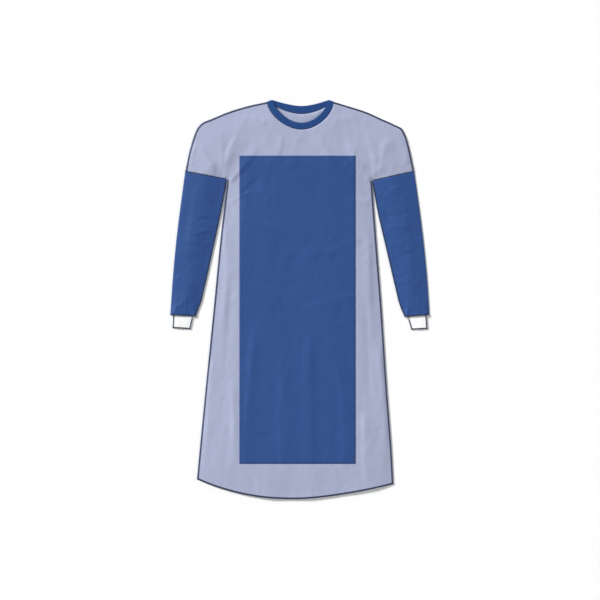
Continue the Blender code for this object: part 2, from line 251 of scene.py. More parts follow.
def mesh_piece(name, points, faces, material):
    """A smooth-shaded object of these points and faces, with its faces turned outwards."""
    mesh = bpy.data.meshes.new(name)
    mesh.from_pydata([tuple(point) for point in points], [], [tuple(map(int, face)) for face in faces])
    work = bmesh.new()
    work.from_mesh(mesh)
    bmesh.ops.recalc_face_normals(work, faces=work.faces)
    work.to_mesh(mesh)
    work.free()
    mesh.shade_smooth()
    mesh.materials.append(material)
    piece = bpy.data.objects.new(name, mesh)
    bpy.context.scene.collection.objects.link(piece)
    return piece


def close_sheet(points, faces, under, over):
    """Points and faces of a thin wall between the heights under and over, with a rounded rim."""
    count = len(points)
    edges = {(int(a), int(b)) for face in faces for a, b in zip(face, np.roll(face, -1))}
    rim = sorted(edge for edge in edges if edge[::-1] not in edges)
    solid_points = list(place(points, under)) + list(place(points, over))
    solid_faces = [tuple(face) for face in faces] + [tuple(face[::-1] + count) for face in faces]
    bulge = {}
    for a, b in rim:
        out = np.array((points[b][1] - points[a][1], points[a][0] - points[b][0]))
        for i in (a, b):
            bulge[i] = bulge.get(i, 0) + out / np.hypot(*out)
    middle = {}
    for i, out in bulge.items():
        thick = over[i] - under[i]
        spot = points[i] + out / np.hypot(*out) * thick * RIM_BULGE
        middle[i] = len(solid_points)
        solid_points.append(place(spot[None], np.array([under[i] + thick / 2]))[0])
    for a, b in rim:
        solid_faces += [(b, a, middle[a], middle[b]), (middle[b], middle[a], a + count, b + count)]
    return solid_points, solid_faces


def set_inputs(node, inputs):
    """Sets a node's inputs, each to a value of its own or to another node's output."""
    for label, value in inputs.items():
        if isinstance(value, bpy.types.NodeSocket):
            node.id_data.links.new(value, node.inputs[label])
        else:
            node.inputs[label].default_value = value


def new_material(name, inputs):
    """(material, its shader), with these inputs set on the shader."""
    material = bpy.data.materials.new(name)
    material.use_nodes = True
    shader = material.node_tree.nodes["Principled BSDF"]
    set_inputs(shader, inputs)
    return material, shader


def add_node(material, kind, inputs, output, **settings):
    """The named output of a new node with these inputs and settings."""
    node = material.node_tree.nodes.new(kind)
    for label, value in settings.items():
        setattr(node, label, value)
    set_inputs(node, inputs)
    return node.outputs[output]


# The nonwoven's finish, in cells a metre: long thin fibres turned by two angles, so that they cross, the web
# that they make, and a broad cloudiness. Its bonding dots are squashed one way and have a soft edge.
FIBRES = (12, (900, 5200, 900))
CROSS_FIBRES = (-38, (4800, 800, 900))
WEB_SCALE = 330.0
MOTTLE_SCALE = 24.0
DOT_SQUASH = 0.8
DOT_EDGE = (0.20, 0.32)
DOT_GLOSS = 0.14


def nonwoven(name, colour, roughness, dot_pitch, dot_depth, sheen, haze=0.035, film=0.0):
    """Bonded nonwoven: a felt of fine fibres, pressed together in staggered rows of small dots. haze is how
    far its shade varies, and film how much of a gloss its face has."""
    looks = {
        "Sheen Weight": sheen,
        "Sheen Roughness": 0.5,
        "Sheen Tint": (*(0.3 + 0.7 * part for part in colour), 1),
        "Coat Weight": film,
        "Coat Roughness": 0.45,
        "Specular IOR Level": 0.3,
    }
    material, shader = new_material(name, looks)
    spot = add_node(material, "ShaderNodeTexCoord", {}, "Object")

    def turned(angle, scale):
        inputs = {"Rotation": (0, 0, math.radians(angle)), "Scale": scale, "Vector": spot}
        return add_node(material, "ShaderNodeMapping", inputs, "Vector")

    def clouds(vector, scale, detail, distortion=0.0):
        inputs = {"Scale": scale, "Detail": detail, "Distortion": distortion, "Vector": vector}
        return add_node(material, "ShaderNodeTexNoise", inputs, "Fac")

    def mapped(value, low, high, to_low, to_high):
        inputs = {"From Min": low, "From Max": high, "To Min": to_low, "To Max": to_high, "Value": value}
        return add_node(material, "ShaderNodeMapRange", inputs, "Result")

    def combined(operation, first, second):
        return add_node(material, "ShaderNodeMath", {0: first, 1: second}, "Value", operation=operation)

    lattice = turned(45, (1 / dot_pitch, 1 / (dot_pitch * DOT_SQUASH), 1))
    inputs = {"Randomness": 0.04, "Scale": 1.0, "Vector": lattice}
    dots = mapped(add_node(material, "ShaderNodeTexVoronoi", inputs, "Distance"), *DOT_EDGE, 0.0, 1.0)
    some_fibres = clouds(turned(*FIBRES), 1.0, 3.0, 0.6)
    other_fibres = clouds(turned(*CROSS_FIBRES), 1.0, 3.0, 0.6)
    fibres = combined("MULTIPLY", some_fibres, other_fibres)
    web = clouds(turned(0, (1, 1, 1)), WEB_SCALE, 3.0, 0.3)
    mottle = clouds(turned(20, (1, 1, 1)), MOTTLE_SCALE, 2.0)
    broad = mapped(mottle, 0.3, 0.7, -haze / 4, haze / 4)
    shade = combined("ADD", mapped(web, 0.3, 0.7, -haze, haze), broad)
    shade = combined("ADD", shade, mapped(fibres, 0.1, 0.4, -haze / 2, haze / 2))
    shade = combined("ADD", shade, mapped(dots, 0.0, 1.0, -haze, 0.0))
    inputs = {"Color": (*colour, 1), "Value": mapped(shade, -1.0, 1.0, 0.0, 2.0)}
    tint = add_node(material, "ShaderNodeHueSaturation", inputs, "Color")
    dull = mapped(dots, 0.0, 1.0, roughness - DOT_GLOSS, roughness)
    height = combined("ADD", mapped(dots, 0.0, 1.0, 0.0, 1.0), mapped(fibres, 0.0, 0.5, 0.0, 0.35))
    height = combined("ADD", height, mapped(web, 0.0, 1.0, 0.0, 0.5))
    inputs = {"Strength": 0.6, "Distance": dot_depth, "Height": height}
    bump = add_node(material, "ShaderNodeBump", inputs, "Normal")
    set_inputs(shader, {"Base Color": tint, "Roughness": dull, "Normal": bump})
    return material


LIGHT_COLOUR = (0.375, 0.408, 0.565)
light_nonwoven = nonwoven(
    "light_nonwoven", LIGHT_COLOUR, roughness=0.86, dot_pitch=0.0019, dot_depth=0.00012, sheen=0.25
)


def make_back(name, side):
    free = -side * OVERLAP / 2
    edges = [edge(side, BACK_EDGE_STEP) for edge in (shoulder_edge, sleeve_seam, side_seam)]
    outer = np.concatenate([edges[0], edges[1][1:], edges[2][1:]])
    bottom = hem(outer[-1][0], free, BACK_EDGE_STEP)[1:]
    shares = np.linspace(free / NECK_HALF_WIDTH, side, BACK_NECK_POINTS)[:-1]
    neck = np.array([back_seam_point(share) for share in shares])
    down_free_edge = straight(bottom[-1], neck[0], BACK_EDGE_STEP)[1:-1]
    outline = np.concatenate([outer, bottom, down_free_edge, neck])
    columns = np.arange(-BACK_GRID_REACH, BACK_GRID_REACH + 1, BACK_STEP)
    rows = np.arange(BACK_GRID_TOP, LENGTH, BACK_STEP)
    points, faces = cut_sheet(outline, grid_inside(outline, columns, rows, BACK_STEP / 2))
    across, down = points.T
    under = overlap_height(np.minimum(across, 0.0)) if side == RIGHT else np.zeros(len(points))
    ripple = np.sin(across / 37.0 + down / 90.0) * np.sin(down / 61.0 + 1.0)
    over = under + BACK_CLOTH + BACK_RIPPLE * ripple
    piece = mesh_piece(name, *close_sheet(points, faces, under, over), light_nonwoven)
    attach(piece, "root")
    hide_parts(name.replace("_piece", ""))


make_back("back_left_piece", LEFT)
make_back("back_right_piece", RIGHT)

# The front, one piece of the same light nonwoven with its cap sleeves cut on. It is sewn to the backs at
# the shoulders and sides only, so it lifts a little between them, and it is open at the neck and hem. Laid
# out by hand, it keeps a few soft creases, and it puckers along its seams.
FRONT_CLOTH = 0.9
FRONT_REST = BACK_CLOTH + 0.2
FRONT_COLUMNS = 74
FRONT_ROWS = 164
ROWS_ABOVE = 30
ROWS_BELOW = 25
GRID_CLEAR = 0.55
FRONT_EDGE_STEP = 5.0
SIDE_EDGE_STEP = 6.0
NECKLINE_POINTS = 64
SCOOP_BOTTOM_DOWN = 95.7
SCOOP_ROUNDNESS = 1.7
REINFORCEMENT_WIDTH = 370.0
REINFORCEMENT_LENGTH = 982.0
REINFORCEMENT_CENTRE = -8.0
REINFORCEMENT_TOP_DOWN = 178.6

# How the front lies: it rolls up from its seams, lifts between them, settles at the hem and puckers along
# the seams. Each form starts clear of the closed edges, and a reach is how far it takes to grow or fade.
ROLL = 1.1
ROLL_REACH = 5.0
LOFT = 5.2
LOFT_REACH = 75.0
HEM_SETTLE = 0.72
HEM_SETTLE_REACH = 95.0
HEM_WAVE = 1.1
HEM_WAVE_REACH = 150.0
HEM_WAVE_CLEAR = 40.0
SLOW_WAVE = 0.55
SLOW_WAVE_CLEAR = 50.0
PUCKER = 0.42
PUCKER_REACH = 22.0
PUCKER_START = 4.0
SIDE_RIPPLE = 21.0
CAP_RIPPLE = 15.0
SEAM_PINCH = 0.7
SEAM_PINCH_REACH = 4.5
SEAM_PINCH_CLEAR = 8.0
Crumple = namedtuple("Crumple", "height size stretch seed clear")
FRONT_CRUMPLES = (
    Crumple(height=0.42, size=46.0, stretch=1.7, seed=3.0, clear=26.0),
    Crumple(height=0.2, size=24.0, stretch=1.2, seed=8.0, clear=18.0),
)

# Creases: where each starts and ends, how far it bows to one side, how wide it is, and how high it stands.
# The ones below nought are troughs.
Crease = namedtuple("Crease", "across down to_across to_down bow width height")
FRONT_CREASES = rows_of(
    Crease,  # across, down, to_across, to_down, bow, width, height
    (-236, 276, -128, 118, 12, 15, 5.2),
    (-240, 262, -186, 70, -9, 17, 6.1),
    (-250, 244, -262, 74, 8, 15, 4.3),
    (-262, 238, -318, 128, -8, 16, 4.9),
    (-226, 312, -96, 214, 14, 15, -3.2),
    (-228, 330, -130, 292, -7, 11, 2.9),
    (-346, 216, -326, 120, -6, 12, 2.9),
    (230, 272, 150, 104, -12, 16, 5.5),
    (238, 256, 206, 78, 9, 15, 4.6),
    (254, 240, 292, 108, -9, 17, 5.7),
    (224, 318, 112, 240, -12, 13, -2.9),
    (226, 338, 140, 316, 6, 10, 2.6),
    (344, 212, 322, 132, 5, 12, 3.0),
    (-96, 74, -214, 62, 9, 15, 3.3),
    (98, 66, 204, 72, -8, 16, 3.0),
    (-52, 106, -118, 236, -12, 15, 3.0),
    (58, 104, 132, 222, 10, 14, 2.6),
    (-6, 108, -22, 262, 5, 17, 1.9),
    (-214, 356, 46, 414, 18, 19, 2.3),
    (212, 436, -58, 498, -16, 18, 2.2),
    (-204, 560, 30, 590, 12, 17, -2.0),
    (196, 604, -24, 668, -14, 19, 2.2),
    (-240, 372, -258, 828, -10, 18, 4.9),
    (-212, 540, -246, 1120, 9, 19, -3.8),
    (-276, 812, -302, 1212, 6, 16, 4.3),
    (-216, 878, -224, 1262, -8, 20, 5.8),
    (-142, 690, -166, 1280, 12, 26, 4.9),
    (-68, 806, -58, 1284, -10, 28, 4.1),
    (34, 730, 52, 1286, 12, 27, 4.8),
    (118, 800, 144, 1280, -9, 25, 4.2),
    (222, 400, 236, 790, 9, 17, 4.3),
    (202, 612, 222, 1120, -8, 18, -3.5),
    (250, 760, 274, 1214, -7, 17, 5.1),
    (204, 980, 224, 1262, 7, 18, 4.3),
)
CREASE_CLEAR = 14.0
CREASE_RISE = 0.16
CREASE_FALL = 0.45
CREASE_REACH = 14
CREASE_SHARPNESS = 1.9
CREASE_SWAY = 0.3
CREASE_LEAN = 0.35
TROUGH_SHARE = 0.3
TROUGH_SPREAD = 2.2


def crease_height(points, creases):
    """What the creases add at each point: a leaning ridge with a shallow trough on each side of it."""
    height = np.zeros(len(points))
    for crease in creases:
        start = np.array((crease.across, crease.down), float)
        way = np.array((crease.to_across, crease.to_down)) - start
        length = math.hypot(*way)
        way /= length
        share = (points - start) @ way / length
        bow = crease.bow * (4 * share * (1 - share) + CREASE_SWAY * np.sin(7 * share + crease.across))
        aside = (points - start) @ np.array((-way[1], way[0])) - bow
        across = aside / (crease.width * (0.6 + 0.5 * np.clip(share, 0, 1)))
        lean = CREASE_LEAN * math.copysign(1, math.sin(crease.across + crease.down))
        across = across * (1 + lean * np.tanh(2 * across))
        fade = smooth_step(share / CREASE_RISE) * smooth_step((1 - share) / CREASE_FALL)
        ridge = 1 / (1 + np.abs(across) ** CREASE_SHARPNESS)
        ridge = ridge - TROUGH_SHARE * np.exp(-((across / TROUGH_SPREAD) ** 2))
        uneven = 0.85 + 0.2 * np.sin(share * 9.0 + crease.down) + 0.1 * np.sin(share * 23.0 + crease.across)
        height += crease.height * fade * ridge * uneven * (np.abs(across) < CREASE_REACH)
    return height


def crumple_height(points, edge, crumple):
    """Small papery wrinkles about size millimetres apart, drawn out down the garment by stretch."""
    found = []
    for across, down in points:
        spot = Vector((across / crumple.size, down / (crumple.size * crumple.stretch), 0.0))
        spot += Vector((crumple.seed, 0.0, crumple.seed * 0.7))
        warp = noise.noise(spot * 0.45) * 1.3
        found.append(1 - 2 * abs(noise.noise(spot + Vector((warp, warp * 0.6, 0)))) * 1.6)
    return crumple.height * np.array(found) * smooth_step(edge / crumple.clear)


def uneven_ripple(along, spacing):
    """A ripple whose waves differ in length and height along a seam."""
    turn = 2 * math.pi * along / spacing
    wave = np.sin(turn + 1.9 * np.sin(turn / 5.3) + 1.1 * np.sin(turn / 2.3 + 2.0))
    return wave * (0.62 + 0.38 * np.sin(turn / 7.7 + 0.6))


def seam_pucker(points, path, spacing):
    """Small puckers along a seam, highest a little way in from it."""
    distance, along = nearest_on_path(points, path)
    fade = np.exp(-distance / PUCKER_REACH) * (1 - np.exp(-distance / PUCKER_START))
    return PUCKER * fade * uneven_ripple(along, spacing)


def seam_pinch(distance, edge):
    """How far a seam to the sleeve holds the cloth down, by the distances to it and to the cloth's edge."""
    return SEAM_PINCH * np.exp(-distance / SEAM_PINCH_REACH) * smooth_step(edge / SEAM_PINCH_CLEAR)


SEAM_STEP = 12.0
closed_seams = [edge(side, SEAM_STEP) for edge in (shoulder_edge, side_seam) for side in (RIGHT, LEFT)]
cap_seams = [sleeve_seam(side, SEAM_STEP) for side in (RIGHT, LEFT)]
whole_hem = hem(-HEM_CORNER[RIGHT][0], HEM_CORNER[LEFT][0], SEAM_STEP)


def front_under(points):
    """Height of the front's underside over the table, in millimetres."""
    across, down = points.T
    edge = np.min([distance_to_path(points, seam) for seam in closed_seams], axis=0)
    to_cap = np.min([distance_to_path(points, seam) for seam in cap_seams], axis=0)
    to_hem = distance_to_path(points, whole_hem)
    settle = 1 - HEM_SETTLE * (1 - smooth_step(to_hem / HEM_SETTLE_REACH))
    lift = ROLL * (1 - np.exp(-edge / ROLL_REACH)) + LOFT * smooth_step(edge / LOFT_REACH) * settle
    slow = np.sin(across / 71.0 + 1.2) * np.sin(down / 118.0 + 0.4)
    slow += 0.6 * np.sin(across / 43.0 - down / 87.0)
    soft = SLOW_WAVE * slow * smooth_step(edge / SLOW_WAVE_CLEAR)
    for crumple in FRONT_CRUMPLES:
        soft += crumple_height(points, edge, crumple)
    creases = crease_height(points, FRONT_CREASES) * smooth_step(edge / CREASE_CLEAR)
    puckers = sum(seam_pucker(points, seam, SIDE_RIPPLE) for seam in closed_seams)
    puckers += sum(seam_pucker(points, seam, CAP_RIPPLE) for seam in cap_seams)
    wave = 1 + np.sin(across / 31.0 + 1.2 * np.sin(across / 83.0))
    hem_wave = HEM_WAVE * (1 - smooth_step(to_hem / HEM_WAVE_REACH)) * wave
    hem_wave *= smooth_step(edge / HEM_WAVE_CLEAR)
    form = lift + soft + creases + puckers + hem_wave - seam_pinch(to_cap, edge)
    return FRONT_REST + overlap_height(across) + np.maximum(form, 0.0)


def scoop_point(turn):
    """Front neckline, from the wearer's right corner at turn 0 to the left one at turn 1."""
    angle = math.pi * turn
    power = 2 / SCOOP_ROUNDNESS
    share = -math.copysign(abs(math.cos(angle)) ** power, math.cos(angle))
    sunk = max(1 - soft_power(share, SCOOP_ROUNDNESS), 0.0) ** (1 / SCOOP_ROUNDNESS)
    depth = SCOOP_BOTTOM_DOWN - NECK_CORNER_DOWN
    return np.array((neck_across(share, NECK_HALF_WIDTH), NECK_CORNER_DOWN + depth * sunk))


front_sides = []
for side in (RIGHT, LEFT):
    cap, flank = sleeve_seam(side, FRONT_EDGE_STEP)[1:], side_seam(side, SIDE_EDGE_STEP)[1:]
    front_sides.append(np.concatenate([shoulder_edge(side, FRONT_EDGE_STEP), cap, flank]))
front_bottom = hem(front_sides[0][-1][0], front_sides[1][-1][0], FRONT_EDGE_STEP)[1:-1]
neckline = np.array([scoop_point(turn) for turn in np.linspace(0, 1, NECKLINE_POINTS)[1:-1]])
front_outline = np.concatenate([front_sides[0], front_bottom, front_sides[1][::-1], neckline[::-1]])

# The front's grid has the reinforcement's edges on its lines, so that both have the same points there.
column = REINFORCEMENT_WIDTH / FRONT_COLUMNS
row = REINFORCEMENT_LENGTH / FRONT_ROWS
first_across = REINFORCEMENT_CENTRE - REINFORCEMENT_WIDTH / 2
columns = first_across + column * np.arange(-FRONT_COLUMNS, 2 * FRONT_COLUMNS)
rows = REINFORCEMENT_TOP_DOWN + row * np.arange(-ROWS_ABOVE, FRONT_ROWS + ROWS_BELOW)
front_grid = grid_inside(front_outline, columns, rows, column * GRID_CLEAR)
front_points, front_faces = cut_sheet(front_outline, front_grid)
front_low = front_under(front_points)
front_high = front_low + FRONT_CLOTH
front_wall = close_sheet(front_points, front_faces, front_low, front_high)
front = mesh_piece("front_piece", *front_wall, light_nonwoven)
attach(front, "root")
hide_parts("front_panel")

# The sewing thread, navy. An overlock stitch closes the shoulders and sides over their cut edges and
# finishes the hem, and a zigzag with a straight run on each side of it closes the seams to the sleeves.
THREAD_COLOUR = (0.012, 0.030, 0.090)
THREAD_RADIUS = 0.48
STITCH_PITCH = 1.75
STITCH_REACH = 5.2
THREAD_SIDES = ((1, 0), (0, 1), (-1, 0), (0, -1))
THREAD_PATH_STEP = 4.0
THREAD_UNDERSIDE = -0.3
CAP_STITCH_RISE = 0.6
ZIGZAG_SPREAD = 1.0

# How an overlock's threads lie: the second needle row at a share of the reach, and the threads at so many
# of their own radii over the cloth or past its edge. A needle thread dips at every other point.
SECOND_NEEDLE = 0.55
NEEDLE_RISE = (0.4, 1.1)
LOOPER_RISE = 0.8
LOOPER_EDGE_RISE = 0.6
LOOPER_RETURN_RISE = 0.7
LOOPER_OVERHANG = 0.6
thread_looks = {"Base Color": (*THREAD_COLOUR, 1), "Roughness": 0.7, "Sheen Weight": 0.2}
thread_material = new_material("navy_thread", thread_looks)[0]


def tube_faces(rows, around):
    """Faces that join rows of points, where each row goes once round a tube."""
    faces = []
    for i in range(rows - 1):
        for j in range(around):
            k = (j + 1) % around
            faces.append((i * around + j, i * around + k, (i + 1) * around + k, (i + 1) * around + j))
    return faces


def thread_tube(points, radius):
    """Points and faces of a closed four-sided tube along the points, all in millimetres."""
    points = np.array(points)
    way = np.gradient(points, axis=0)
    way /= np.linalg.norm(way, axis=1, keepdims=True)
    aside = np.cross(way, (0.0, 0.0, 1.0))
    aside /= np.maximum(np.linalg.norm(aside, axis=1, keepdims=True), 0.05)
    upward = np.cross(aside, way)
    ring = np.array([points + (aside * x + upward * y) * radius for x, y in THREAD_SIDES])
    ring = ring.transpose(1, 0, 2).reshape(-1, 3)
    ends = [(3, 2, 1, 0), tuple(range(len(ring) - 4, len(ring)))]
    return ring, tube_faces(len(points), len(THREAD_SIDES)) + ends


def thread_piece(name, runs):
    """One object of several thread runs, each a list of (across, down, height) points."""
    points, faces = [], []
    for run in runs:
        ring, tube = thread_tube(run, THREAD_RADIUS)
        faces += [tuple(index + len(points) for index in face) for face in tube]
        points += list(place(ring[:, :2], ring[:, 2]))
    piece = mesh_piece(name, points, faces, thread_material)
    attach(piece, "root")
    return piece


def walk(path, step):
    """(places, headings) every step millimetres along a path of (across, down) points."""
    lengths = np.concatenate([[0], np.cumsum(np.hypot(*np.diff(path, axis=0).T))])
    spots = np.linspace(0, lengths[-1], max(2, round(lengths[-1] / step) + 1))
    places = np.column_stack([np.interp(spots, lengths, path[:, i]) for i in (0, 1)])
    heading = np.gradient(places, axis=0)
    return places, heading / np.linalg.norm(heading, axis=1, keepdims=True)


def overlock(path, inward, top, low, reach=STITCH_REACH):
    """Runs of an overlock stitch over an edge. inward is 1 where the cloth lies to the path's left as it
    is walked, and -1 where it lies to its right. top gives the cloth's height, and low its underside's."""
    places, heading = walk(path, STITCH_PITCH / 2)
    normal = np.column_stack([heading[:, 1], -heading[:, 0]]) * inward
    inner, middle = places + normal * reach, places + normal * reach * SECOND_NEEDLE
    outer = places - normal * THREAD_RADIUS * LOOPER_OVERHANG
    inner_height, middle_height = top(inner), top(middle)
    edge_height, under_height = top(places + normal * 0.5), low(places)
    looper, needle, second_needle = [], [], []
    for i in range(len(places)):
        raised = THREAD_RADIUS * NEEDLE_RISE[i % 2]
        needle.append((*inner[i], inner_height[i] + raised))
        second_needle.append((*middle[i], middle_height[i] + raised))
        if i % 2:
            looper.append((*inner[i], inner_height[i] + THREAD_RADIUS * LOOPER_RISE))
        else:
            out, back = places[i] + normal[i] * 0.8, places[i] + normal[i] * 0.6 + heading[i] * 0.2
            looper.append((*out, edge_height[i] + THREAD_RADIUS * LOOPER_EDGE_RISE))
            looper.append((*outer[i], (edge_height[i] + under_height[i]) / 2))
            looper.append((*back, edge_height[i] + THREAD_RADIUS * LOOPER_RETURN_RISE))
    return [looper, needle, second_needle]


def seam_zigzag(path, top, spread):
    """A zigzag of thread laid over a flat seam, with a straight run along each side of it."""
    places, heading = walk(path, STITCH_PITCH / 2)
    normal = np.column_stack([heading[:, 1], -heading[:, 0]])
    swing = np.where(np.arange(len(places)) % 2, spread, -spread)[:, None]
    runs = []
    for offset in (normal * swing, normal * spread, -normal * spread):
        spots = places + offset
        runs.append(np.column_stack([spots, top(spots) + THREAD_RADIUS * LOOPER_RETURN_RISE]))
    return runs


def front_top(points):
    return front_under(points) + FRONT_CLOTH


def seam_bottom(points):
    return np.full(len(points), THREAD_UNDERSIDE)


for side, name in ((RIGHT, "right"), (LEFT, "left")):
    runs = overlock(shoulder_edge(side, THREAD_PATH_STEP), -side, front_top, seam_bottom)
    runs += overlock(side_seam(side, THREAD_PATH_STEP), -side, front_top, seam_bottom)
    cap_edge = sleeve_seam(side, THREAD_PATH_STEP)[:-1] - (0, CAP_STITCH_RISE)
    runs += seam_zigzag(cap_edge, front_top, ZIGZAG_SPREAD)
    thread_piece("thread_seams_" + name, runs)
hem_edge = hem(-HEM_CORNER[RIGHT][0], HEM_CORNER[LEFT][0], THREAD_PATH_STEP)
thread_piece("thread_hem", overlock(hem_edge, 1, front_top, front_under))

# The reinforcement, a rectangle of heavier nonwoven with a film face that keeps fluid off the chest and
# lap. It is laid on the front and stitched down all round close to its edge, and it follows the front's
# form under it.
PATCH_GAP = 0.12
PATCH_CLOTH = 0.75
PATCH_STITCH_INSET = 5.0
PATCH_STITCH_DIP = 0.28
PATCH_STITCH_SPREAD = 1.8
PATCH_PUFF = 0.5
PATCH_PUFF_REACH = 26.0
PATCH_RIPPLE = 0.45
PATCH_RIPPLE_SPACING = 19.0
PATCH_RIPPLE_INSET = 12.0
PATCH_RIPPLE_REACH = 9.0
PATCH_RIPPLE_CLEAR = 8.0
PATCH_SINK = 0.1
PATCH_END_DOWN = REINFORCEMENT_TOP_DOWN + REINFORCEMENT_LENGTH
PATCH_MIDDLE_DOWN = REINFORCEMENT_TOP_DOWN + REINFORCEMENT_LENGTH / 2
DARK_COLOUR = (0.0195, 0.0705, 0.2505)
dark_nonwoven = nonwoven(
    "dark_nonwoven",
    DARK_COLOUR,
    roughness=0.72,
    dot_pitch=0.0016,
    dot_depth=0.00009,
    sheen=0.07,
    haze=0.05,
    film=0.1,
)

centres = front_points[front_faces].mean(axis=1)
beside = np.abs(centres[:, 0] - REINFORCEMENT_CENTRE) < REINFORCEMENT_WIDTH / 2
below = (centres[:, 1] > REINFORCEMENT_TOP_DOWN) & (centres[:, 1] < PATCH_END_DOWN)
patch_faces = front_faces[beside & below]
used = np.unique(patch_faces)
patch_points = front_points[used]
patch_faces = np.searchsorted(used, patch_faces)
from_side = REINFORCEMENT_WIDTH / 2 - np.abs(patch_points[:, 0] - REINFORCEMENT_CENTRE)
from_end = REINFORCEMENT_LENGTH / 2 - np.abs(patch_points[:, 1] - PATCH_MIDDLE_DOWN)
from_edge = np.minimum(from_side, from_end)
patch_corners = [
    (REINFORCEMENT_CENTRE + x * REINFORCEMENT_WIDTH / 2, REINFORCEMENT_TOP_DOWN + y * REINFORCEMENT_LENGTH)
    for x, y in ((-1, 0), (1, 0), (1, 1), (-1, 1), (-1, 0))
]
patch_path = np.array(patch_corners)
edge_along = nearest_on_path(patch_points, patch_path)[1]
patch_low = front_high[used] + PATCH_GAP
patch_low += PATCH_PUFF * smooth_step((from_edge - PATCH_STITCH_INSET) / PATCH_PUFF_REACH)
ripples = PATCH_RIPPLE * uneven_ripple(edge_along, PATCH_RIPPLE_SPACING)
ripples *= np.exp(-np.abs(from_edge - PATCH_RIPPLE_INSET) / PATCH_RIPPLE_REACH)
ripples *= smooth_step(from_edge / PATCH_RIPPLE_CLEAR)
patch_low += np.maximum(ripples, -PATCH_SINK)
dip = PATCH_STITCH_DIP * np.exp(-(((from_edge - PATCH_STITCH_INSET) / PATCH_STITCH_SPREAD) ** 2))
patch_high = patch_low + PATCH_CLOTH - dip
patch_wall = close_sheet(patch_points, patch_faces, patch_low, patch_high)
patch = mesh_piece("reinforcement_piece", *patch_wall, dark_nonwoven)
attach(patch, "root")
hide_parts("reinforcement")


def lockstitches(path, top, length=3.0, space=0.9):
    """Short runs of thread, one for each stitch of a straight row along a path."""
    places, _ = walk(path, (length + space) / 4)
    runs = []
    for i in range(0, len(places) - 4, 4):
        spots = places[i : i + 4]
        sink = np.array((-0.35, 0.25, 0.25, -0.35))
        runs.append(np.column_stack([spots, top(spots) + sink * THREAD_RADIUS]))
    return runs


def height_over(points, heights):
    """A function that gives the height at any place, from the nearest of these points."""
    tree = KDTree(len(points))
    for i, (across, down) in enumerate(points):
        tree.insert((across, down, 0.0), i)
    tree.balance()

    def found(places):
        result = []
        for across, down in places:
            near = tree.find_n((across, down, 0.0), 4)
            weights = np.array([1 / (distance + 0.2) ** 2 for _, _, distance in near])
            result.append(float(weights @ heights[[index for _, index, _ in near]] / weights.sum()))
        return np.array(result)

    return found


patch_middle = np.array((REINFORCEMENT_CENTRE, PATCH_MIDDLE_DOWN))
patch_stitch_path = patch_path - np.sign(patch_path - patch_middle) * PATCH_STITCH_INSET
patch_top = height_over(patch_points, patch_high)
patch_runs = []
for start, end in zip(patch_stitch_path, patch_stitch_path[1:]):
    patch_runs += lockstitches(np.array([start, end]), patch_top)
patch_thread = thread_piece("thread_reinforcement", patch_runs)

# The neck binding, one strip of darker nonwoven folded round the raw neck edge. It runs from the right
# back's free edge, turns over at the shoulder, follows the front scoop, turns over at the other shoulder
# and ends at the left back's free edge.
BAND_WIDTH = 22.0
BAND_THICK = 1.25
BAND_GAP = 0.3
BACK_FREE_HALF_WIDTH = 88.0
BACK_FREE_DOWN = 19.0
BACK_FREE_ROUNDNESS = 1.4
BACK_BAND_END = 0.985
FRONT_BAND_START = 0.035
BACK_BAND_ROWS = 40
FRONT_BAND_ROWS = 110
TURN_ROWS = 11

# The strip's section, in shares of its width and thickness: its rounded rims, its half thickness, the rise
# at its middle, and where its row of stitches lies.
BAND_PROFILE_POINTS = 15
BAND_RIM = 0.035
BAND_HALF = 0.42
BAND_CROWN = 0.08
BAND_STITCH_INSET = 0.09
BAND_STITCH_RISE = 0.44

BAND_STITCH = 2.4
BAND_STITCH_SPACE = 0.8
BAND_COLOUR = (0.007, 0.053, 0.205)
binding = nonwoven(
    "neck_binding", BAND_COLOUR, roughness=0.78, dot_pitch=0.0015, dot_depth=0.0001, sheen=0.08
)


def back_free_point(share):
    down = BACK_FREE_DOWN * (1 - soft_power(share, BACK_FREE_ROUNDNESS))
    return np.array((neck_across(share, BACK_FREE_HALF_WIDTH), down))


def scoop_inward(turn):
    """Unit vector from the front neckline into the neck opening."""
    nudge = 0.01
    way = scoop_point(min(turn + nudge, 1.0)) - scoop_point(max(turn - nudge, 0.0))
    return np.array((way[1], -way[0])) / math.hypot(*way)


def back_band_rows(side):
    """Rows of (seam point, free point, middle height, normal) from a back's free edge to its shoulder."""
    found = []
    first_share = -side * OVERLAP / 2 / NECK_HALF_WIDTH
    for share in np.linspace(first_share, side * BACK_BAND_END, BACK_BAND_ROWS):
        seam, free = back_seam_point(share), back_free_point(share)
        seam = seam + (free - seam) / np.hypot(*(free - seam)) * BAND_GAP
        base = overlap_height(min(seam[0], 0.0)) if side == RIGHT else 0.0
        found.append((seam, free, base + BAND_THICK / 2, np.array((0.0, 0.0, -1.0))))
    return found


def front_band_rows():
    found = []
    for turn in np.linspace(FRONT_BAND_START, 1 - FRONT_BAND_START, FRONT_BAND_ROWS):
        seam = scoop_point(turn) + scoop_inward(turn) * BAND_GAP
        free = scoop_point(turn) + scoop_inward(turn) * BAND_WIDTH
        middle = front_under(seam[None])[0] + 0.1 + BAND_THICK / 2
        found.append((seam, free, middle, np.array((0.0, 0.0, 1.0))))
    return found


